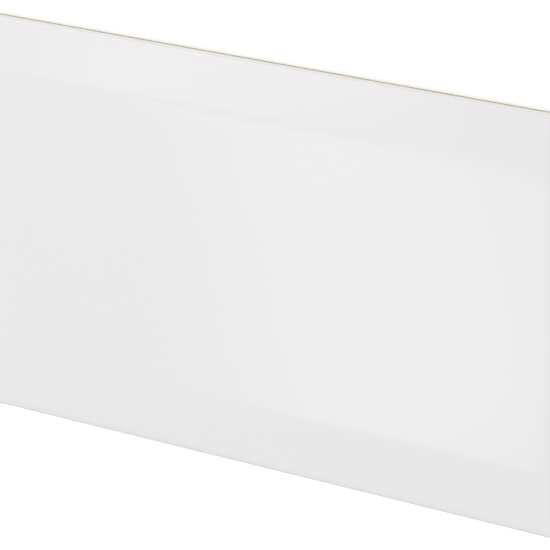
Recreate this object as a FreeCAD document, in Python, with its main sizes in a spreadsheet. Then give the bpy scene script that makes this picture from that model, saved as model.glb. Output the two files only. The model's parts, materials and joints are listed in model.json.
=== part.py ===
import FreeCAD, Part
import math
import os

import Sketcher

# A bevelled subway wall tile: one piece of pressed and glazed earthenware, fired whole.
# It lies on its back. Its length runs along X, its width along Y and its glazed face looks up,
# along Z, with the origin in the middle of the back.

# Driving sizes, in millimetres unless the note says otherwise.
SIZES = (
    ("tile_length", 200, "end wall to end wall"),
    ("tile_width", 100, "side wall to side wall"),
    ("tile_thickness", 6.5, "back to flat face"),
    ("bevel_width", 14.5, "run of each bevel, seen from above"),
    ("bevel_drop", 1.8, "fall of each bevel from the flat face to the arris"),
    ("arris_land", 1, "upright part of a side wall, just below the arris"),
    ("wall_lean", 0.4, "how far a side wall leans in from its upright part to the back"),
    ("corner_radius", 1.2, "plan radius of the tile's corners at the arris"),
    ("face_corner_radius", 3, "plan radius of the flat face's corners"),
    ("crease_radius", 36, "rounding where the flat face turns into a bevel"),
    ("arris_radius", 0.8, "rounding where a bevel turns into a side wall"),
    ("back_chamfer", 0.5, "broken edge around the back"),
    ("rim_width", 9, "flat border around the key recesses of the back"),
    ("key_rows", 8, "recesses across the back, a whole number"),
    ("key_bays", 2, "recesses along the back, a whole number"),
    ("key_rib", 3.5, "rib between two recesses"),
    ("key_depth", 0.5, "depth of a recess"),
    ("key_draft", 30, "slope of a recess's walls, in degrees from upright"),
    ("key_corner", 2, "plan radius of a recess's corners"),
)

# Places and sizes that follow from the driving ones, as the document's own expressions.
ARRIS_LEVEL = "Sizes.tile_thickness - Sizes.bevel_drop"
LAND_LEVEL = f"{ARRIS_LEVEL} - Sizes.arris_land"
BACK_LENGTH = "Sizes.tile_length - 2 * Sizes.wall_lean"
BACK_WIDTH = "Sizes.tile_width - 2 * Sizes.wall_lean"
BACK_CORNER = "Sizes.corner_radius - Sizes.wall_lean"
FACE_LENGTH = "Sizes.tile_length - 2 * Sizes.bevel_width"
FACE_WIDTH = "Sizes.tile_width - 2 * Sizes.bevel_width"
BEVEL_SLOPE = "atan(Sizes.bevel_drop / Sizes.bevel_width)"
RECESS_LENGTH = (f"({BACK_LENGTH} - 2 * Sizes.rim_width - (Sizes.key_bays - 1) * Sizes.key_rib)"
                 " / Sizes.key_bays")
RECESS_WIDTH = (f"({BACK_WIDTH} - 2 * Sizes.rim_width - (Sizes.key_rows - 1) * Sizes.key_rib)"
                " / Sizes.key_rows")
BAY_PITCH = f"{RECESS_LENGTH} + Sizes.key_rib"
ROW_PITCH = f"{RECESS_WIDTH} + Sizes.key_rib"

# A fillet takes at most this share of the upright wall or of the plan radius beside it.
FILLET_SHARE = 0.9
LEVEL_TOLERANCE = 1e-4

# The numbers by which a sketch knows an edge's start, its end and an arc's centre.
START, END, CENTRE = 1, 2, 3


def make_sheet(doc):
    """Write the driving sizes to a spreadsheet, one alias to a row."""
    sheet = doc.addObject("Spreadsheet::Sheet", "Sizes")
    for row, (name, value, note) in enumerate(SIZES, start=1):
        sheet.set(f"A{row}", name)
        sheet.set(f"B{row}", str(value))
        sheet.set(f"C{row}", note)
        sheet.setAlias(f"B{row}", name)
    doc.recompute()
    return sheet


def origin_plane(body, role):
    """Find one of the body's own origin planes by its role."""
    return next(plane for plane in body.Origin.OriginFeatures if plane.Role == role)


def rounded_rectangle(body, name, length, width, radius, level="0", shift_x="0", shift_y="0"):
    """Sketch a rectangle with rounded corners, its sizes and its place given as expressions."""
    sketch = body.newObject("Sketcher::SketchObject", name)
    sketch.AttachmentSupport = [(origin_plane(body, "XY_Plane"), "")]
    sketch.MapMode = "FlatFace"
    sketch.setExpression(".AttachmentOffset.Base.x", shift_x)
    sketch.setExpression(".AttachmentOffset.Base.y", shift_y)
    sketch.setExpression(".AttachmentOffset.Base.z", level)

    # A first outline, anticlockwise from the lower side, which the constraints then size.
    half_x, half_y, round_off = 20, 10, 2
    corner_x = half_x - round_off
    corner_y = half_y - round_off
    sides = (
        ((-corner_x, -half_y), (corner_x, -half_y)),
        ((half_x, -corner_y), (half_x, corner_y)),
        ((corner_x, half_y), (-corner_x, half_y)),
        ((-half_x, corner_y), (-half_x, -corner_y)),
    )
    centres = ((corner_x, -corner_y), (corner_x, corner_y), (-corner_x, corner_y), (-corner_x, -corner_y))
    for first, last in sides:
        sketch.addGeometry(Part.LineSegment(FreeCAD.Vector(*first, 0), FreeCAD.Vector(*last, 0)))
    for quarter, centre in enumerate(centres, start=-1):
        circle = Part.Circle(FreeCAD.Vector(*centre, 0), FreeCAD.Vector(0, 0, 1), round_off)
        turn = quarter * math.pi / 2
        sketch.addGeometry(Part.ArcOfCircle(circle, turn, turn + math.pi / 2))

    for side in range(4):
        arc = side + 4
        next_side = (side + 1) % 4
        sketch.addConstraint(Sketcher.Constraint("Tangent", side, END, arc, START))
        sketch.addConstraint(Sketcher.Constraint("Tangent", arc, END, next_side, START))
        sketch.addConstraint(Sketcher.Constraint("Vertical" if side % 2 else "Horizontal", side))
    for arc in (5, 6, 7):
        sketch.addConstraint(Sketcher.Constraint("Equal", 4, arc))
    sketch.addConstraint(Sketcher.Constraint("Symmetric", 5, CENTRE, 7, CENTRE, -1, START))

    drives = (
        ("corner", Sketcher.Constraint("Radius", 4, round_off), radius),
        ("length", Sketcher.Constraint("DistanceX", 3, START, 1, START, 2 * half_x), length),
        ("width", Sketcher.Constraint("DistanceY", 0, START, 2, START, 2 * half_y), width),
    )
    for label, constraint, expression in drives:
        index = sketch.addConstraint(constraint)
        sketch.renameConstraint(index, label)
        sketch.setExpression(f"Constraints.{label}", expression)
    return sketch


def edges_at_level(shape, level):
    """Name the edges that lie at one height, such as the outline of the flat face."""
    names = []
    for number, edge in enumerate(shape.Edges, start=1):
        box = edge.BoundBox
        if abs(box.ZMin - level) < LEVEL_TOLERANCE and abs(box.ZMax - level) < LEVEL_TOLERANCE:
            names.append(f"Edge{number}")
    return names


def round_edges(body, name, base, level, radius):
    """Fillet every edge of the base at one height, with a radius given as an expression."""
    fillet = body.newObject("PartDesign::Fillet", name)
    fillet.Base = (base, edges_at_level(base.Shape, level))
    fillet.setExpression("Radius", radius)
    body.Document.recompute()
    return fillet


def ruled_loft(body, name, lower, upper):
    """Add straight-sided stock from one outline up to the next."""
    loft = body.newObject("PartDesign::AdditiveLoft", name)
    loft.Profile = lower
    loft.Sections = [upper]
    loft.Ruled = True
    body.Document.recompute()
    return loft


def press_blank(body):
    """The pressed blank: leaning walls, an upright land, then four bevels with mitred corners."""
    back = rounded_rectangle(body, "BackOutline", BACK_LENGTH, BACK_WIDTH, BACK_CORNER)
    foot, arris = (
        rounded_rectangle(body, name, "Sizes.tile_length", "Sizes.tile_width", "Sizes.corner_radius", level)
        for name, level in (("LandOutline", LAND_LEVEL), ("ArrisOutline", ARRIS_LEVEL)))
    face = rounded_rectangle(body, "FaceOutline", FACE_LENGTH, FACE_WIDTH,
                             "Sizes.face_corner_radius", "Sizes.tile_thickness")
    ruled_loft(body, "Walls", back, foot)
    land = body.newObject("PartDesign::Pad", "Land")
    land.Profile = foot
    land.setExpression("Length", "Sizes.arris_land")
    body.Document.recompute()
    return ruled_loft(body, "Bevels", arris, face)


def soften_edges(body, blank, sheet):
    """Round the creases and the arris as the glaze does, and break the edge of the back."""
    crease_limit = f"{FILLET_SHARE} * Sizes.face_corner_radius / tan({BEVEL_SLOPE} / 2)"
    creases = round_edges(body, "Creases", blank, sheet.tile_thickness,
                          f"min(Sizes.crease_radius; {crease_limit})")

    arris_limit = f"{FILLET_SHARE} * min(Sizes.corner_radius; Sizes.arris_land)"
    arrises = round_edges(body, "Arrises", creases, sheet.tile_thickness - sheet.bevel_drop,
                          f"min(Sizes.arris_radius; {arris_limit})")

    broken = body.newObject("PartDesign::Chamfer", "BackEdge")
    broken.Base = (arrises, edges_at_level(arrises.Shape, 0))
    broken.setExpression("Size", "Sizes.back_chamfer")
    body.Document.recompute()
    return broken


def key_the_back(body, blank):
    """Press shallow drafted recesses into the back, in rows and bays, for the adhesive to grip."""
    doc = body.Document
    recess = rounded_rectangle(
        body, "RecessOutline", RECESS_LENGTH, RECESS_WIDTH, "Sizes.key_corner",
        shift_x=f"-(Sizes.key_bays - 1) / 2 * ({BAY_PITCH})",
        shift_y=f"-(Sizes.key_rows - 1) / 2 * ({ROW_PITCH})")
    pocket = body.newObject("PartDesign::Pocket", "Recess")
    pocket.Profile = recess
    pocket.Reversed = True
    pocket.setExpression("Length", "Sizes.key_depth")
    pocket.setExpression("TaperAngle", "-Sizes.key_draft")
    doc.recompute()

    pattern = body.newObject("PartDesign::MultiTransform", "KeyPattern")
    pattern.Originals = [pocket]
    directions = (
        ("KeyBays", "H_Axis", BAY_PITCH, "Sizes.key_bays"),
        ("KeyRows", "V_Axis", ROW_PITCH, "Sizes.key_rows"),
    )
    for name, axis, pitch, count in directions:
        step = body.newObject("PartDesign::LinearPattern", name)
        step.Direction = (recess, [axis])
        step.Mode = "Spacing"
        step.setExpression("Offset", pitch)
        step.setExpression("Occurrences", count)
        pattern.Transformations = pattern.Transformations + [step]
    body.Tip = pattern
    doc.recompute()

    first_cut = blank.Shape.Volume - pocket.Shape.Volume
    all_cuts = blank.Shape.Volume - pattern.Shape.Volume
    print(f"one recess takes {first_cut:.1f} mm3 and all of them {all_cuts:.1f} mm3")
    if first_cut <= 0 or all_cuts < first_cut:
        raise RuntimeError("the recesses cut nothing out of the back")


def check_document(doc, body):
    """Stop before anything is written if a feature failed or the solid isn't sound."""
    for item in doc.Objects:
        if "Invalid" in item.State or "Error" in item.State:
            raise RuntimeError(f"{item.Name} is {item.State}")
    if body.Shape.isNull() or not body.Shape.isValid() or len(body.Shape.Solids) != 1:
        raise RuntimeError(f"{body.Label} isn't one sound solid")


def main():
    doc = FreeCAD.newDocument("WallTile")
    sheet = make_sheet(doc)
    body = doc.addObject("PartDesign::Body", "Tile")
    body.Label = "tile"
    body.Placement = FreeCAD.Placement()
    blank = press_blank(body)
    softened = soften_edges(body, blank, sheet)
    key_the_back(body, softened)

    check_document(doc, body)
    box = body.Shape.BoundBox
    print(f"{body.Label}: {box.XLength:.2f} x {box.YLength:.2f} x {box.ZLength:.2f} mm,"
          f" {body.Shape.Volume / 1000:.1f} cm3, {len(body.Shape.Faces)} faces")
    os.makedirs("parts", exist_ok=True)
    body.Shape.exportStep(f"parts/{body.Label}.step")


main()
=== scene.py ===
# %% [markdown]
# A bevelled wall tile, dressed for a portrait.
#
# The tile is one piece: a slab of pressed earthenware with a flat face, four long slopes down to
# a thin edge, and a coat of white glaze that was melted over the front in the kiln. The glaze runs
# over the edge and stops less than three millimetres above the back, so a thin line of bare tan
# clay shows there.
#
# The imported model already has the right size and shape, but its fillets are coarse triangles and
# it has one plain colour. This script builds the same form again as two finely divided skins, the
# clay and the glaze on it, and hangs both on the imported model's only body.

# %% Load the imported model
import json
import math

import bmesh
import bpy
import numpy as np
from mathutils import Matrix, Vector

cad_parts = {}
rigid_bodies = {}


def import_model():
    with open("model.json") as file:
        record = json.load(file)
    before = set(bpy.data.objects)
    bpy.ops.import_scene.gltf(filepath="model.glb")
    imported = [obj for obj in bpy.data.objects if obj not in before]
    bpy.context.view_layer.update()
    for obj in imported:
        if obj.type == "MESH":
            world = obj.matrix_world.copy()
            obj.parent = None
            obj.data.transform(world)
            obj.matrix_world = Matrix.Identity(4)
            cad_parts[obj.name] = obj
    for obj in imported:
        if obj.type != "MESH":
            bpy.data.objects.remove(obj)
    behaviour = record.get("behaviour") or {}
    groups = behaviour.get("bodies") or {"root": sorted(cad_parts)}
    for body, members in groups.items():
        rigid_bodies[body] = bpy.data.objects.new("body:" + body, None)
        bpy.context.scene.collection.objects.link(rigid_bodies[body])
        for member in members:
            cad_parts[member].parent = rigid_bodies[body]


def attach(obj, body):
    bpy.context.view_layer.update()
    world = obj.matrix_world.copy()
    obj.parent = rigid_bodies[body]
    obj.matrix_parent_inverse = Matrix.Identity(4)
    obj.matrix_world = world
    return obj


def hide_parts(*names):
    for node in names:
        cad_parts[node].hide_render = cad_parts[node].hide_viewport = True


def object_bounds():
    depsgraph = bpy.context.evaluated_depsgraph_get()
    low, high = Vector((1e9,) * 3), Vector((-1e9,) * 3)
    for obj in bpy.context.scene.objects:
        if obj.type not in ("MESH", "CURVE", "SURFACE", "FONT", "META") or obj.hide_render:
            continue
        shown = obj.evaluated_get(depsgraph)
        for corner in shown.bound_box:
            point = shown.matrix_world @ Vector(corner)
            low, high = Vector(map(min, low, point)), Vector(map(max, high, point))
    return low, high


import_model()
cad_low, cad_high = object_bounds()
tile_size = cad_high - cad_low
print("packed tile, mm:", [round(side * 1000, 2) for side in tile_size])

# %% [markdown]
# Sizes come next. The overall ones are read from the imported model, so they can't drift from it.
# The others are what a tile maker would quote: the run and the fall of the slopes, how softly the
# glaze turns over each edge, how thick it is and where it stops. The arris is the outer edge, where
# a slope meets the side wall. One name holds a millimetre, because everything in the scene is in
# metres.

# %% Real sizes
MM = 0.001
HALF_LENGTH = tile_size.x / 2
HALF_WIDTH = tile_size.y / 2
THICKNESS = tile_size.z

BEVEL_RUN = 14.5 * MM
BEVEL_FALL = 1.8 * MM
BEVEL_SLOPE = math.atan2(BEVEL_FALL, BEVEL_RUN)
CREASE_RADIUS = 36 * MM
ARRIS_RADIUS = 0.8 * MM
ARRIS_LAND = 1.0 * MM
ARRIS_HEIGHT = THICKNESS - BEVEL_FALL
LAND_FOOT = ARRIS_HEIGHT - ARRIS_LAND
WALL_LEAN = 0.4 * MM
CORNER_RADIUS = 1.2 * MM
FACE_CORNER_RADIUS = 3.0 * MM
BACK_EDGE_RADIUS = 0.4 * MM

GLAZE_THICKNESS = 0.15 * MM
GLAZE_STOP = 2.65 * MM
print("slope of a bevel, degrees:", round(math.degrees(BEVEL_SLOPE), 2))

# %% [markdown]
# A tile like this is a stack of rounded rectangles. Each one is the outline of the tile at one
# height, a little smaller as it climbs the slope. If every outline has the same number of points,
# in the same order, then joining each point to its neighbours in the next outline gives a clean
# skin of four-sided faces that follows every edge. Blender's Bevel modifier would get close, but
# it can't keep a wide slope, a soft crease and a tight arris apart on one mesh.

# %% Outlines
ARC_STEPS = 3
CORNER_SIGNS = ((-1, -1), (1, -1), (1, 1), (-1, 1))


def outline(half_x, half_y, radius, height, steps_x, steps_y):
    """Points of a rounded rectangle, anticlockwise from the middle of its lower left corner."""
    centres = [Vector((sx * (half_x - radius), sy * (half_y - radius), height))
               for sx, sy in CORNER_SIGNS]
    eighth = math.pi / 4

    def on_arc(corner, angle):
        """The point at an angle on a corner's rounding."""
        return centres[corner % 4] + radius * Vector((math.cos(angle), math.sin(angle), 0))

    points = []
    for corner in range(4):
        following = corner + 1
        angle = (5 + 2 * corner) * eighth
        steps = (steps_x, steps_y)[corner % 2] - 2 * ARC_STEPS
        leaving = on_arc(corner, angle + eighth)
        arriving = on_arc(following, angle + eighth)
        turns = [i / ARC_STEPS for i in range(ARC_STEPS)]
        points += [on_arc(corner, angle + eighth * turn) for turn in turns]
        points += [leaving.lerp(arriving, i / steps) for i in range(steps)]
        points += [on_arc(following, angle + eighth * (1 + turn)) for turn in turns]
    return points


def tile_outline(depth, inset, height, steps_x, steps_y):
    """The tile's own outline at one inset, whose corners open out as they climb the slope."""
    if height > LAND_FOOT:
        climbed = min((inset - depth) / BEVEL_RUN, 1)
        radius = CORNER_RADIUS - depth + (FACE_CORNER_RADIUS - CORNER_RADIUS) * climbed
    else:
        radius = CORNER_RADIUS - inset
    return outline(HALF_LENGTH - inset, HALF_WIDTH - inset, radius, height, steps_x, steps_y)


print("corner radii, mm:", round(CORNER_RADIUS / MM, 2), round(FACE_CORNER_RADIUS / MM, 2))

# %% [markdown]
# The section of the tile says which outlines to draw. It starts where the flat face begins to
# turn, rolls over the crease, runs down the slope, rolls over the arris and drops down the side
# wall, which is upright for a millimetre and then leans in a little, so that the tile leaves its
# die. The same section, moved inwards by the thickness of the glaze, is where the clay ends: an
# outside rounding loses that thickness from its radius and keeps its centre.

# %% The section
CREASE_STEPS = 6
SLOPE_STEPS = 7
ARRIS_STEPS = 8
WALL_STEPS = 3
SUPPORT_GAP = 0.3 * MM


def wall_inset(height):
    """How far the side wall has leaned in at a height."""
    return WALL_LEAN * max(0, 1 - height / LAND_FOOT)


def roll(centre, radius, first, last, steps):
    """Points of a rounding, at even turns of its normal away from the upright."""
    return [(centre[0] - radius * math.sin(a), centre[1] + radius * math.cos(a))
            for a in np.linspace(first, last, steps + 1)]


def section(depth, wall_foot):
    """(inset, height) pairs from the flat face to the wall's foot, this deep under the surface."""
    crease_centre = (BEVEL_RUN + CREASE_RADIUS * math.tan(BEVEL_SLOPE / 2),
                     THICKNESS - CREASE_RADIUS)
    arris_centre = (ARRIS_RADIUS, ARRIS_HEIGHT + ARRIS_RADIUS * math.tan(BEVEL_SLOPE)
                    - ARRIS_RADIUS / math.cos(BEVEL_SLOPE))
    crease = roll(crease_centre, CREASE_RADIUS - depth, 0, BEVEL_SLOPE, CREASE_STEPS)
    arris = roll(arris_centre, ARRIS_RADIUS - depth, BEVEL_SLOPE, math.pi / 2, ARRIS_STEPS)

    top, foot = crease[-1], arris[0]
    support = SUPPORT_GAP / (top[0] - foot[0])
    shares = [support, *[i / SLOPE_STEPS for i in range(1, SLOPE_STEPS)], 1 - support]
    slope = [(top[0] + (foot[0] - top[0]) * share, top[1] + (foot[1] - top[1]) * share)
             for share in shares]

    wall = [(depth, LAND_FOOT)]
    for step in range(1, WALL_STEPS + 1):
        height = LAND_FOOT + (wall_foot - LAND_FOOT) * step / WALL_STEPS
        wall.append((depth + wall_inset(height), height))
    return crease + slope + arris + wall


print("outlines in the section:", len(section(0, GLAZE_STOP)))

# %% [markdown]
# A few short helpers turn outlines into a mesh: one adds an outline's points, one joins outlines
# with belts of faces, and one fills the last outline with a grid, so that the flat face has small
# even faces too and can carry a ripple later. The last two finish a mesh and put it in the scene.

# %% Mesh helpers
WELD = 0.001 * MM


def add_ring(mesh, points):
    """Put an outline's points into the mesh."""
    return [mesh.verts.new(point) for point in points]


def join_rings(mesh, rings):
    """Join each outline to the next one, of as many points, with a belt of four-sided faces."""
    for first, second in zip(rings, rings[1:]):
        for i in range(len(first)):
            following = (i + 1) % len(first)
            mesh.faces.new((first[i], first[following], second[following], second[i]))


def fill_ring(mesh, ring, steps_x, steps_y):
    """Fill an outline with a grid whose inner points follow its four sides."""
    south = ring[:steps_x + 1]
    east = ring[steps_x:steps_x + steps_y + 1]
    north = ring[steps_x + steps_y:2 * steps_x + steps_y + 1][::-1]
    west = [ring[0], *ring[2 * steps_x + steps_y:][::-1]]
    grid = [south]
    for j in range(1, steps_y):
        v = j / steps_y
        row = [west[j]]
        for i in range(1, steps_x):
            u = i / steps_x
            sides = ((1 - v) * south[i].co + v * north[i].co
                     + (1 - u) * west[j].co + u * east[j].co)
            corners = ((1 - u) * (1 - v) * south[0].co + u * (1 - v) * south[-1].co
                       + (1 - u) * v * north[0].co + u * v * north[-1].co)
            row.append(mesh.verts.new(sides - corners))
        grid.append([*row, east[j]])
    grid.append(north)
    for low, high in zip(grid, grid[1:]):
        for i in range(steps_x):
            mesh.faces.new((low[i], low[i + 1], high[i + 1], high[i]))


def add_object(name, data):
    """Put a mesh, a lamp or a camera into the scene."""
    made = bpy.data.objects.new(name, data)
    bpy.context.scene.collection.objects.link(made)
    return made


def finish_mesh(mesh, name, sharp_degrees):
    """Merge doubles, turn the faces outwards, shade by angle and make the object."""
    bmesh.ops.remove_doubles(mesh, verts=mesh.verts, dist=WELD)
    bmesh.ops.recalc_face_normals(mesh, faces=mesh.faces)
    for face in mesh.faces:
        face.smooth = True
    for edge in mesh.edges:
        edge.smooth = edge.calc_face_angle(0) < math.radians(sharp_degrees)
    data = bpy.data.meshes.new(name)
    mesh.to_mesh(data)
    mesh.free()
    return add_object(name, data)


# %% [markdown]
# Node trees appear twice here: as Geometry Nodes, which make and move points, and as materials,
# which paint them. Both are nodes, settings and links, so one helper is enough. A link is given in
# place of a value: an earlier node, or one of its output sockets.

# %% A helper for nodes


def find_socket(sockets, name):
    """The socket at a number, or the first one in use with a name."""
    if isinstance(name, int):
        return sockets[name]
    return next(socket for socket in sockets if socket.enabled and socket.name == name)


def add_node(tree, kind, inputs=None, **settings):
    """Add a node, set its properties, then give each input a value or a link."""
    node = tree.nodes.new(kind)
    for name, value in settings.items():
        setattr(node, name, value)
    for name, value in (inputs or {}).items():
        socket = find_socket(node.inputs, name)
        if isinstance(value, bpy.types.Node):
            value = next(output for output in value.outputs if output.enabled)
        if isinstance(value, bpy.types.NodeSocket):
            tree.links.new(value, socket)
        else:
            socket.default_value = value
    return node


# %% [markdown]
# A Geometry Nodes tree has inputs of its own, which the modifier that runs it shows as fields.
# They are named for the sizes that they hold, but a script has to set them by their identifiers.
# Once the tree has run, its result replaces the mesh, so the modifier can go.

# %% Helpers for Geometry Nodes


def geometry_tree(name, sizes):
    """A Geometry Nodes tree with a geometry in and out and these named inputs."""
    tree = bpy.data.node_groups.new(name, "GeometryNodeTree")
    tree.interface.new_socket("Geometry", in_out="OUTPUT", socket_type="NodeSocketGeometry")
    tree.interface.new_socket("Geometry", in_out="INPUT", socket_type="NodeSocketGeometry")
    for size, kind in sizes.items():
        tree.interface.new_socket(size, in_out="INPUT", socket_type=f"NodeSocket{kind}")
    return tree, tree.nodes.new("NodeGroupInput").outputs


def run_tree(piece, tree, values):
    """Give the piece the tree, set its inputs by identifier, and keep the result as plain mesh."""
    modifier = piece.modifiers.new(tree.name, "NODES")
    modifier.node_group = tree
    for item in tree.interface.items_tree:
        if item.in_out == "INPUT" and item.name in values:
            modifier[item.identifier] = values[item.name]
    depsgraph = bpy.context.evaluated_depsgraph_get()
    evaluated = piece.evaluated_get(depsgraph)
    result = bpy.data.meshes.new_from_object(evaluated, depsgraph=depsgraph)
    piece.modifiers.remove(modifier)
    result.name = piece.data.name
    piece.data = result
    return piece


# %% [markdown]
# Colours are written as the six digits that a paint chart or a picture editor shows. Blender mixes
# light in linear values, so one function turns the digits to those.

# %% Colours


def colour(digits):
    """Turn sRGB hex digits to the linear colour that a shader wants."""
    channels = [int(digits[i:i + 2], 16) / 255 for i in (0, 2, 4)]
    linear = [c / 12.92 if c <= 0.04045 else ((c + 0.055) / 1.055) ** 2.4 for c in channels]
    return (*linear, 1.0)


def new_material(name):
    """A node material with one Principled shader; returns the material, its tree and shader."""
    material = bpy.data.materials.new(name)
    material.use_nodes = True
    return material, material.node_tree, material.node_tree.nodes["Principled BSDF"]


print("a middle grey in linear light:", round(colour("808080")[0], 3))

# %% [markdown]
# The clay is white-bodied earthenware, dust-pressed in a steel die and fired once before glazing,
# a state that potters call biscuit. It is dry, matt and pale tan, with a fine even grain from the
# pressed powder, darker specks where a little iron burned, and soft clouds where the powder packed
# more or less tightly. A flat colour would look like plastic, and a picture of clay would stretch
# over the edges, so noise in three dimensions paints it, each pattern with a size in millimetres.
# Grain and specks are too fine to show whole in this picture, so they are drawn at about twice
# their real size.

# %% Biscuit earthenware
PALE_CLAY = "D0C6B5"
TAN_CLAY = "C4B9A8"
IRON_SPECK = "96866F"
CLOUD_SIZE = 14 * MM
GRAIN_SIZE = 0.5 * MM
GRAIN_SHARE = 0.45
SPECK_SPACING = 1.6 * MM
SPECK_CORE = 0.05
SPECK_RIM = 0.16
SPECK_SHARE = 0.5
TOOTH_DEPTH = 0.03 * MM
TOOTH_STRENGTH = 0.6
BISCUIT_ROUGHNESS = 0.92
BISCUIT_SPECULAR = 0.3


def make_biscuit():
    """Dry matt clay with clouds, specks and grain."""
    material, tree, shader = new_material("biscuit_earthenware")
    place = add_node(tree, "ShaderNodeTexCoord").outputs["Object"]
    cloud = add_node(tree, "ShaderNodeTexNoise", {
        "Vector": place, "Scale": 1 / CLOUD_SIZE, "Detail": 3.0})
    grain = add_node(tree, "ShaderNodeTexNoise", {
        "Vector": place, "Scale": 1 / GRAIN_SIZE, "Detail": 2.0})
    speck = add_node(tree, "ShaderNodeTexVoronoi", {
        "Vector": place, "Scale": 1 / SPECK_SPACING})
    body = add_node(tree, "ShaderNodeMix", {
        "Factor": cloud, "A": colour(PALE_CLAY), "B": colour(TAN_CLAY)}, data_type="RGBA")
    grained = add_node(tree, "ShaderNodeMix", {
        "Factor": GRAIN_SHARE, "A": body, "B": grain}, data_type="RGBA", blend_type="SOFT_LIGHT")
    dark = add_node(tree, "ShaderNodeMapRange", {
        "Value": speck, "From Min": SPECK_CORE, "From Max": SPECK_RIM,
        "To Min": SPECK_SHARE, "To Max": 0.0})
    specked = add_node(tree, "ShaderNodeMix", {
        "Factor": dark, "A": grained, "B": colour(IRON_SPECK)}, data_type="RGBA")
    tooth = add_node(tree, "ShaderNodeBump", {
        "Strength": TOOTH_STRENGTH, "Distance": TOOTH_DEPTH, "Height": grain})
    tree.links.new(find_socket(specked.outputs, "Result"), shader.inputs["Base Color"])
    tree.links.new(tooth.outputs["Normal"], shader.inputs["Normal"])
    shader.inputs["Roughness"].default_value = BISCUIT_ROUGHNESS
    shader.inputs["Specular IOR Level"].default_value = BISCUIT_SPECULAR
    return material


biscuit = make_biscuit()
print("nodes in the biscuit:", len(biscuit.node_tree.nodes))

# %% [markdown]
# The glaze is an opaque white one, made white by zircon and melted at about 1100 degrees into a
# skin of glass. What the eye gets is a clean white under a sharp clear gloss, a slow ripple in the
# reflections, and a greyer tone where the molten glass drew thin over the arris. Along the -Y long
# edge that grey is much stronger, and there it is painted shade: the dark line of an arris that
# turns away from the light. A shader can't measure a glaze, so how grey each point is comes with
# the mesh, as a value on each point, and the tone follows the edge.

# %% White glaze
GLAZE_WHITE = "ECEAEB"
GLAZE_BRIGHT = "EDEBEC"
GLAZE_THIN_AND_SHADE = "D8D6D5"
MOTTLE_SIZE = 45 * MM
PEEL_SIZE = 2.2 * MM
PEEL_DEPTH = 0.004 * MM
PEEL_STRENGTH = 0.5
GLAZE_ROUGHNESS = 0.1
GLAZE_IOR = 1.52


def make_glaze():
    """Glossy white glass with a faint mottle, greyer where thin, and painted shade along the -Y
    arris.
    """
    material, tree, shader = new_material("white_zircon_glaze")
    place = add_node(tree, "ShaderNodeTexCoord").outputs["Object"]
    # The 'thin' value: thin glaze at every arris, plus painted shade along the -Y long edge.
    thin = add_node(tree, "ShaderNodeAttribute", attribute_name="thin").outputs["Fac"]
    mottle = add_node(tree, "ShaderNodeTexNoise", {
        "Vector": place, "Scale": 1 / MOTTLE_SIZE, "Detail": 1.0})
    white = add_node(tree, "ShaderNodeMix", {
        "Factor": mottle, "A": colour(GLAZE_WHITE), "B": colour(GLAZE_BRIGHT)}, data_type="RGBA")
    drawn = add_node(tree, "ShaderNodeMix", {
        "Factor": thin, "A": white, "B": colour(GLAZE_THIN_AND_SHADE)}, data_type="RGBA")
    peel = add_node(tree, "ShaderNodeTexNoise", {
        "Vector": place, "Scale": 1 / PEEL_SIZE, "Detail": 1.0})
    skin = add_node(tree, "ShaderNodeBump", {
        "Strength": PEEL_STRENGTH, "Distance": PEEL_DEPTH, "Height": peel})
    tree.links.new(find_socket(drawn.outputs, "Result"), shader.inputs["Base Color"])
    tree.links.new(skin.outputs["Normal"], shader.inputs["Normal"])
    shader.inputs["Roughness"].default_value = GLAZE_ROUGHNESS
    shader.inputs["IOR"].default_value = GLAZE_IOR
    return material


glaze = make_glaze()
print("nodes in the glaze:", len(glaze.node_tree.nodes))

# %% [markdown]
# The back is pressed with shallow recesses in rows and bays, between ribs that all end at the same
# height, so the adhesive can key into them. Booleans could cut them, but they leave long thin
# faces. The recesses repeat, so one is built as a cell: a frame of flat rib around a mouth,
# four slightly leaning walls and a floor.

# %% One recess of the back
KEY_ROWS = 8
KEY_BAYS = 2
KEY_RIM = 9 * MM
KEY_RIB = 3.5 * MM
KEY_DEPTH = 0.5 * MM
KEY_DRAFT = math.radians(30)
KEY_CORNER = 2 * MM
BAY_PITCH = (2 * (HALF_LENGTH - WALL_LEAN - KEY_RIM) + KEY_RIB) / KEY_BAYS
ROW_PITCH = (2 * (HALF_WIDTH - WALL_LEAN - KEY_RIM) + KEY_RIB) / KEY_ROWS
CELL_STEPS_X = 26
CELL_STEPS_Y = 8
CLAY_SHARP_DEGREES = 20


def squared(points, half_x, half_y, steps_x, steps_y):
    """Slide a rounded outline's points out to a sharp rectangle, keeping their order."""
    corners = [Vector((sx * half_x, sy * half_y, 0)) for sx, sy in CORNER_SIGNS]
    starts = (0, steps_x, steps_x + steps_y, 2 * steps_x + steps_y, len(points))
    moved = []
    for side in range(4):
        axis = side % 2
        first = points[starts[side]][axis]
        last = points[starts[side + 1] % len(points)][axis]
        for point in points[starts[side]:starts[side + 1]]:
            share = (point[axis] - first) / (last - first)
            moved.append(corners[side].lerp(corners[(side + 1) % 4], share))
    return moved


def make_recess_cell():
    """One recess in its frame of rib, looking down, centred on the origin."""
    steps = (CELL_STEPS_X, CELL_STEPS_Y)
    half_x = (BAY_PITCH - KEY_RIB) / 2
    half_y = (ROW_PITCH - KEY_RIB) / 2
    lean = KEY_DEPTH * math.tan(KEY_DRAFT)
    mouth = outline(half_x, half_y, KEY_CORNER, 0, *steps)
    floor = outline(half_x - lean, half_y - lean, KEY_CORNER - lean, KEY_DEPTH, *steps)
    frame_edge = squared(mouth, BAY_PITCH / 2, ROW_PITCH / 2, *steps)
    mesh = bmesh.new()
    rings = [add_ring(mesh, points) for points in (frame_edge, mouth, floor)]
    join_rings(mesh, rings)
    fill_ring(mesh, rings[-1], *steps)
    return finish_mesh(mesh, "recess_cell", CLAY_SHARP_DEGREES)


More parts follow.
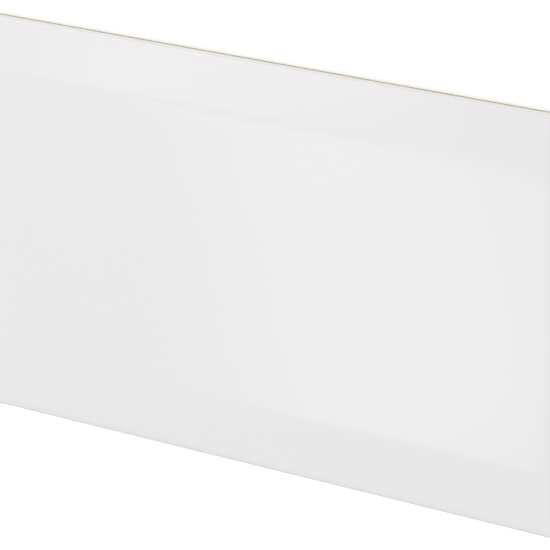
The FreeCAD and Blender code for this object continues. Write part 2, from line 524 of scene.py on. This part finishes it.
cell = make_recess_cell()
print("faces in one cell:", len(cell.data.polygons))

# %% [markdown]
# Geometry Nodes lay the cells out. The tree is short: a grid of points, one cell on each, Realize
# Instances to make them real, Merge by Distance to weld the rims, and Set Material. Rows, bays and
# pitches are inputs, so another tile's back needs only other numbers.

# %% Lay the cells out
KEY_WELD = 0.01 * MM


def make_key_tree():
    """Copies of the incoming cell, in rows and bays around the origin."""
    tree, given = geometry_tree("keyed_back", {
        "Bays": "Int", "Rows": "Int", "Bay Pitch": "Float", "Row Pitch": "Float",
        "Weld": "Float"})

    def span(count, pitch):
        """How far the middles of the first and last cell are apart."""
        gaps = add_node(tree, "ShaderNodeMath", {0: given[count], 1: 1.0}, operation="SUBTRACT")
        return add_node(tree, "ShaderNodeMath", {0: gaps, 1: given[pitch]}, operation="MULTIPLY")

    grid = add_node(tree, "GeometryNodeMeshGrid", {
        "Size X": span("Bays", "Bay Pitch"), "Size Y": span("Rows", "Row Pitch"),
        "Vertices X": given["Bays"], "Vertices Y": given["Rows"]})
    placed = add_node(tree, "GeometryNodeInstanceOnPoints", {
        "Points": grid, "Instance": given["Geometry"]})
    real = add_node(tree, "GeometryNodeRealizeInstances", {"Geometry": placed})
    welded = add_node(tree, "GeometryNodeMergeByDistance", {
        "Geometry": real, "Distance": given["Weld"]})
    painted = add_node(tree, "GeometryNodeSetMaterial", {
        "Geometry": welded, "Material": biscuit})
    add_node(tree, "NodeGroupOutput", {"Geometry": painted})
    return tree


keyed_back = run_tree(cell, make_key_tree(), {
    "Bays": KEY_BAYS, "Rows": KEY_ROWS, "Bay Pitch": BAY_PITCH, "Row Pitch": ROW_PITCH,
    "Weld": KEY_WELD})
print("faces in the keyed back:", len(keyed_back.data.polygons))

# %% [markdown]
# The clay body starts from that back. Its rim is one belt of faces from the pattern's border to
# the tile's foot, a small rounding takes it up to the side wall, and the section, sunk by the
# glaze's thickness, carries it over the top. The body could end where the glaze covers it, but
# closed all round it also prints or slices as it is.

# %% The clay body
BODY_STEPS_X = CELL_STEPS_X * KEY_BAYS
BODY_STEPS_Y = CELL_STEPS_Y * KEY_ROWS
FOOT_STEPS = 4


def border_ring(mesh):
    """The open border of a mesh as one ring, anticlockwise from its lower left corner."""
    loose = {v: [e.other_vert(v) for e in v.link_edges if e.is_boundary]
             for v in mesh.verts if v.is_boundary}
    start = min(loose, key=lambda v: v.co.x + v.co.y)
    ring = [start, max(loose[start], key=lambda v: v.co.x)]
    while True:
        following = next(v for v in loose[ring[-1]] if v is not ring[-2])
        if following is start:
            return ring
        ring.append(following)


def make_body():
    """The biscuit body, from its keyed back to the surface under the glaze."""
    steps = (BODY_STEPS_X, BODY_STEPS_Y)
    mesh = bmesh.new()
    mesh.from_mesh(keyed_back.data)
    centre_inset = GLAZE_THICKNESS + wall_inset(BACK_EDGE_RADIUS) + BACK_EDGE_RADIUS
    foot = [(centre_inset - BACK_EDGE_RADIUS * math.sin(a),
             BACK_EDGE_RADIUS - BACK_EDGE_RADIUS * math.cos(a))
            for a in np.linspace(0, math.pi / 2, FOOT_STEPS + 1)]
    climb = section(GLAZE_THICKNESS, foot[-1][1] + SUPPORT_GAP)[::-1]
    rings = [border_ring(mesh)]
    rings += [add_ring(mesh, tile_outline(GLAZE_THICKNESS, inset, height, *steps))
              for inset, height in foot + climb]
    join_rings(mesh, rings)
    fill_ring(mesh, rings[-1], *steps)
    return finish_mesh(mesh, "biscuit_body", CLAY_SHARP_DEGREES)


biscuit_body = make_body()
bpy.data.objects.remove(keyed_back)
biscuit_body.data.materials.clear()
biscuit_body.data.materials.append(biscuit)
print("faces in the clay body:", len(biscuit_body.data.polygons))

# %% [markdown]
# The glaze is a shell of its own: an outer skin on the tile's true surface, a rounded lip where it
# stops above the back, and an under-skin that follows the clay. The under-skin bites a hair into
# the clay, as melted glass does, so no gap shows between them. Painting the glaze on the clay's own
# faces would be quicker, but then it would end in a flat line without a lip. Three values on each
# point tell what comes later: how grey the glaze is there, from thin glaze over the arris and from
# painted shade along the -Y edge, how much it may ripple and how near the lip it is.

# %% The glaze coat
COAT_STEPS_X = 80
COAT_STEPS_Y = 40
LIP_STEPS = 4
LIP_REACH = 1.2 * MM
GLAZE_BITE = 0.02 * MM
THIN_REACH = 0.7 * MM
# Painted shade along the -Y arris, growing from halfway across; every arris keeps a little grey.
PAINTED_SHADE_START = 0.5
THIN_GLAZE_LEAST = 0.08
GLAZE_SHARP_DEGREES = 60


def thin_glaze_and_painted_shade(from_arris, across):
    """Greyness from thin glaze at the arris and painted shade toward -Y, by arris distance and
    place across.
    """
    painted_shade = (-across / HALF_WIDTH - PAINTED_SHADE_START) / (1 - PAINTED_SHADE_START)
    return max(THIN_GLAZE_LEAST, painted_shade) * math.exp(-(from_arris / THIN_REACH) ** 2)


def make_coat():
    """The glaze as a closed shell over the clay body."""
    steps = (COAT_STEPS_X, COAT_STEPS_Y)
    mesh = bmesh.new()
    values = {name: mesh.verts.layers.float.new(name) for name in ("thin", "skin", "lip")}
    depth = GLAZE_THICKNESS + GLAZE_BITE
    lip = [(wall_inset(GLAZE_STOP + depth) + depth * (1 - math.cos(a)),
            GLAZE_STOP + depth * (1 - math.sin(a)))
           for a in np.linspace(0, math.pi / 2, LIP_STEPS + 1)[1:]]
    outer = section(0, GLAZE_STOP + depth)
    under = section(depth, GLAZE_STOP + SUPPORT_GAP)[::-1]

    def lay(profile, sunk, skin):
        """Add the outlines of a profile, with their three values, and return them as rings."""
        made = []
        for inset, height in profile:
            ring = add_ring(mesh, tile_outline(sunk, inset, height, *steps))
            from_arris = math.dist((inset, height), (0, ARRIS_HEIGHT))
            for point in ring:
                point[values["thin"]] = thin_glaze_and_painted_shade(from_arris, point.co.y)
                point[values["skin"]] = skin
                point[values["lip"]] = max(0, 1 - (height - GLAZE_STOP) / LIP_REACH)
            made.append(ring)
        return made

    rings = lay(outer, 0, 1)
    fill_ring(mesh, rings[0], *steps)
    for point in mesh.verts:
        point[values["skin"]] = 1
    rings += lay(lip + under, depth, 0)
    join_rings(mesh, rings)
    fill_ring(mesh, rings[-1], *steps)
    return finish_mesh(mesh, "glaze_coat", GLAZE_SHARP_DEGREES)


glaze_coat = make_coat()
print("faces in the glaze coat:", len(glaze_coat.data.polygons))

# %% [markdown]
# Molten glaze never lies dead flat. It settles in a slow ripple that bends what it reflects, and
# its lower edge wanders a little where it ran. A bump in the material could fake the ripple, but
# not the wandering edge, and an exported mesh would lose both. So a Geometry Nodes tree moves the
# points with noise: it pushes the outer skin inwards, never outwards, so that the tile keeps its
# size, and it shifts the lip up and down. The lengths, depths and seed are its inputs.

# %% Let the glaze flow
RIPPLE_DEPTH = 0.02 * MM
RIPPLE_LENGTH = 20 * MM
LIP_WANDER = 0.25 * MM
WANDER_LENGTH = 7 * MM
FLOW_SEED = 4.0


def make_flow_tree():
    """Sink the skin by one noise and lift or lower the lip by another."""
    tree, given = geometry_tree("glaze_flow", {
        "Ripple Depth": "Float", "Ripple Length": "Float", "Lip Wander": "Float",
        "Wander Length": "Float", "Seed": "Float"})
    place = add_node(tree, "GeometryNodeInputPosition")
    normal = add_node(tree, "GeometryNodeInputNormal").outputs["Normal"]

    def swells(length):
        """Smooth seeded noise, from 0 to 1, whose swells are as long as a given size."""
        scale = add_node(tree, "ShaderNodeMath", {0: 1.0, 1: given[length]}, operation="DIVIDE")
        return add_node(tree, "ShaderNodeTexNoise", {
            "Vector": place, "W": given["Seed"], "Scale": scale, "Detail": 1.0},
            noise_dimensions="4D")

    def weighed(value, weight, most):
        """The value times an attribute of the points times a given size."""
        held = add_node(tree, "GeometryNodeInputNamedAttribute", {"Name": weight},
                        data_type="FLOAT")
        share = add_node(tree, "ShaderNodeMath", {0: value, 1: held}, operation="MULTIPLY")
        return add_node(tree, "ShaderNodeMath", {0: share, 1: given[most]}, operation="MULTIPLY")

    sink = weighed(swells("Ripple Length"), "skin", "Ripple Depth")
    inwards = add_node(tree, "ShaderNodeMath", {0: sink, 1: -1.0}, operation="MULTIPLY")
    ripple = add_node(tree, "ShaderNodeVectorMath", {0: normal, "Scale": inwards},
                      operation="SCALE")
    swing = add_node(tree, "ShaderNodeMapRange", {
        "Value": swells("Wander Length"), "To Min": -1.0})
    lift = add_node(tree, "ShaderNodeCombineXYZ", {"Z": weighed(swing, "lip", "Lip Wander")})
    moved = add_node(tree, "ShaderNodeVectorMath", {0: ripple, 1: lift}, operation="ADD")
    flowed = add_node(tree, "GeometryNodeSetPosition", {
        "Geometry": given["Geometry"], "Offset": moved})
    real = add_node(tree, "GeometryNodeRealizeInstances", {"Geometry": flowed})
    painted = add_node(tree, "GeometryNodeSetMaterial", {"Geometry": real, "Material": glaze})
    add_node(tree, "NodeGroupOutput", {"Geometry": painted})
    return tree


run_tree(glaze_coat, make_flow_tree(), {
    "Ripple Depth": RIPPLE_DEPTH, "Ripple Length": RIPPLE_LENGTH, "Lip Wander": LIP_WANDER,
    "Wander Length": WANDER_LENGTH, "Seed": FLOW_SEED})
print("attributes kept:", [layer.name for layer in glaze_coat.data.attributes])

# %% [markdown]
# Both skins stand for the imported tile, which stays out of sight from here on. They ride on the
# only body there is, and each keeps the material it was built with.

# %% Hang the skins on the imported model
for piece, slot in ((biscuit_body, "biscuit"), (glaze_coat, "glaze")):
    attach(piece, "root")
    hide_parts("tile")
    print(piece.name, "stands for the tile, in slot", slot)

# %% [markdown]
# The floor is one wide pale plane. It has an opening under the tile, a little smaller than the
# tile, which nothing above can see: it lets a lamp below reach the back, and the floor lets a
# camera below look through, so the tile can be viewed from every side.

# %% The floor
FLOOR_REACH = 12.0
OPENING_INSET = 1.2 * MM


def make_floor():
    """A square plane at the height of the tile's back, with an opening under the tile."""
    mesh = bmesh.new()
    rings = []
    for half_x, half_y in ((FLOOR_REACH, FLOOR_REACH),
                           (HALF_LENGTH - OPENING_INSET, HALF_WIDTH - OPENING_INSET)):
        corners = [(sx * half_x, sy * half_y, cad_low.z) for sx, sy in CORNER_SIGNS]
        rings.append(add_ring(mesh, corners))
    join_rings(mesh, rings)
    data = bpy.data.meshes.new("floor")
    mesh.to_mesh(data)
    mesh.free()
    return add_object("floor", data)


floor = make_floor()
print("floor faces up:", floor.data.polygons[0].normal.z > 0)

# %% [markdown]
# A photographer's paper sweep comes out white because it is lit more than the thing that stands on
# it. Here the paint does that, so that no extra light falls on the tile: the floor glows a little,
# but only for the rays that the camera, glossy glass and clear things see by. It comes out white
# and still keeps a faint contact shadow.

# %% The floor's paint
SWEEP_WHITE = "F7F7F7"
FLOOR_GLOW = 0.3


def seeing_rays(tree):
    """1 for rays from the camera, and 1 for rays that gloss or clear matter sends on."""
    path = add_node(tree, "ShaderNodeLightPath").outputs
    in_gloss = add_node(tree, "ShaderNodeMath", {
        0: path["Is Glossy Ray"], 1: path["Is Transmission Ray"]}, operation="MAXIMUM")
    return path["Is Camera Ray"], in_gloss


def make_floor_paint():
    """Matt white that glows a little to the eye, and is clear to a camera below it."""
    material, tree, shader = new_material("matt_white_sweep")
    shader.inputs["Base Color"].default_value = colour(SWEEP_WHITE)
    shader.inputs["Roughness"].default_value = 1.0
    shader.inputs["Specular IOR Level"].default_value = 0.0
    camera_ray, in_gloss = seeing_rays(tree)
    seen_ray = add_node(tree, "ShaderNodeMath", {0: camera_ray, 1: in_gloss},
                        operation="MAXIMUM")
    strength = add_node(tree, "ShaderNodeMath", {0: seen_ray, 1: FLOOR_GLOW},
                        operation="MULTIPLY")
    glow = add_node(tree, "ShaderNodeEmission", {"Strength": strength})
    seen = add_node(tree, "ShaderNodeAddShader", {0: shader.outputs["BSDF"], 1: glow})
    underside = add_node(tree, "ShaderNodeNewGeometry").outputs["Backfacing"]
    through = add_node(tree, "ShaderNodeMath", {0: camera_ray, 1: underside},
                       operation="MULTIPLY")
    clear = add_node(tree, "ShaderNodeBsdfTransparent")
    mixed = add_node(tree, "ShaderNodeMixShader", {0: through, 1: seen, 2: clear})
    tree.links.new(mixed.outputs["Shader"], tree.nodes["Material Output"].inputs["Surface"])
    return material


floor.data.materials.append(make_floor_paint())
print("floor is painted with:", floor.data.materials[0].name)

# %% [markdown]
# The room around the tile is one even surround, which gives most of the plain level. It is white
# to the camera and nearly so in the gloss, like a studio with pale walls. A picture of a real
# studio would light the tile unevenly and needs a file, so a plain level for each kind of ray does.

# %% The surround
SURROUND_LEVEL = 0.73
GLOSS_LEVEL = 0.85


def make_surround():
    """A white world whose strength depends on the kind of ray that meets it."""
    world = bpy.data.worlds.new("studio")
    world.use_nodes = True
    tree = world.node_tree
    background = tree.nodes["Background"]
    camera_ray, in_gloss = seeing_rays(tree)
    gloss = add_node(tree, "ShaderNodeMapRange", {
        "Value": in_gloss, "To Min": SURROUND_LEVEL, "To Max": GLOSS_LEVEL})
    level = add_node(tree, "ShaderNodeMath", {0: camera_ray, 1: gloss}, operation="MAXIMUM")
    tree.links.new(level.outputs[0], background.inputs["Strength"])
    background.inputs["Color"].default_value = (1, 1, 1, 1)
    return world


bpy.context.scene.world = make_surround()
print("the surround is called:", bpy.context.scene.world.name)

# %% [markdown]
# White on white is lit with care: the tile shows only because its slopes mirror a shade more or
# less light than its face. A broad ceiling panel gives the rest of the plain level. The strips hang
# a metre up, each where one part of the glaze mirrors it to the camera, so the face brightens from
# left to right and the slope behind it does the reverse. One long strip would reach them all, but
# its slanting side would blur the soft turns between them. So the arris has a strip of its own,
# the slope has one, and the face has two, which overlap at slightly different heights to blend
# their ends. The ends are set where each soft turn changes tone. The last lamp stands below and
# rakes over the pressed back from one side, which brings its relief out.

# %% The lights
STRIP_TURN = 14.8
PANELS = (
    # name, place and size in metres, brightness with white paper at 1, turn and tip in degrees
    ("ceiling_panel", (-0.04, 0.1, 1.1), (1.0, 1.0), 0.93, 0, 0),
    ("edge_strip", (-1.28, 1.39, 1.0), (0.37, 1.93), 1.7, 31, 0),
    ("slope_strip", (-0.836, 0.294, 1.0), (0.26, 0.664), 0.95, STRIP_TURN, 0),
    ("face_strip_left", (-0.724, -0.325, 1.0), (0.2, 0.345), 0.52, STRIP_TURN, 0),
    ("face_strip_right", (-0.678, -0.248, 1.005), (0.24, 0.37), 0.52, STRIP_TURN, 0),
    ("fill_below", (0, -0.55, -0.35), (1.0, 0.5), 1.6, 0, 122),
)


def make_panel(name, place, size, brightness, turn, tip):
    """A flat soft lamp that looks down, tipped over and turned about the upright."""
    data = bpy.data.lights.new(name, "AREA")
    data.shape = "RECTANGLE"
    data.size, data.size_y = size
    data.energy = brightness * math.pi * data.size * data.size_y
    lamp = add_object(name, data)
    lamp.location = place
    lamp.rotation_euler = (math.radians(tip), 0, math.radians(turn))
    print(name, "watts:", round(data.energy, 2))


for panel in PANELS:
    make_panel(*panel)

# %% [markdown]
# The camera stands off the tile's far right end and looks down on it through a long lens, so the
# long edges slant and barely narrow, and both ends run out of the picture. It could be dragged into
# place by hand, but numbers can be nudged. They are given as a photographer would pace them out:
# where it aims, how far off it is, its direction around and above the tile, and a slight roll.

# %% The camera
AIM = Vector((5.95, -0.3, 6.5)) * MM
DISTANCE = 1081.4 * MM
AROUND = math.radians(114.84)
ABOVE = math.radians(49.42)
ROLL = math.radians(0.08)
LENS = 298.9
NEAREST_SEEN = 0.05
FARTHEST_SEEN = 50


def make_camera():
    """A camera that looks at the aim from its distance and direction, slightly rolled."""
    towards = Vector((math.sin(AROUND) * math.cos(ABOVE), -math.cos(AROUND) * math.cos(ABOVE),
                      math.sin(ABOVE)))
    level_up = (Vector((0, 1, 0)) - towards * towards.y).normalized()
    level_right = level_up.cross(towards)
    right = math.cos(ROLL) * level_right + math.sin(ROLL) * level_up
    up = towards.cross(right)
    data = bpy.data.cameras.new("camera")
    data.lens = LENS
    data.clip_start = NEAREST_SEEN
    data.clip_end = FARTHEST_SEEN
    made = add_object("camera", data)
    turned = Matrix((right, up, towards)).transposed().to_4x4()
    made.matrix_world = Matrix.Translation(AIM + towards * DISTANCE) @ turned
    return made


camera = make_camera()
bpy.context.scene.camera = camera
bpy.context.scene.view_settings.view_transform = "Standard"
print("camera at, mm:", [round(v * 1000, 1) for v in camera.location])
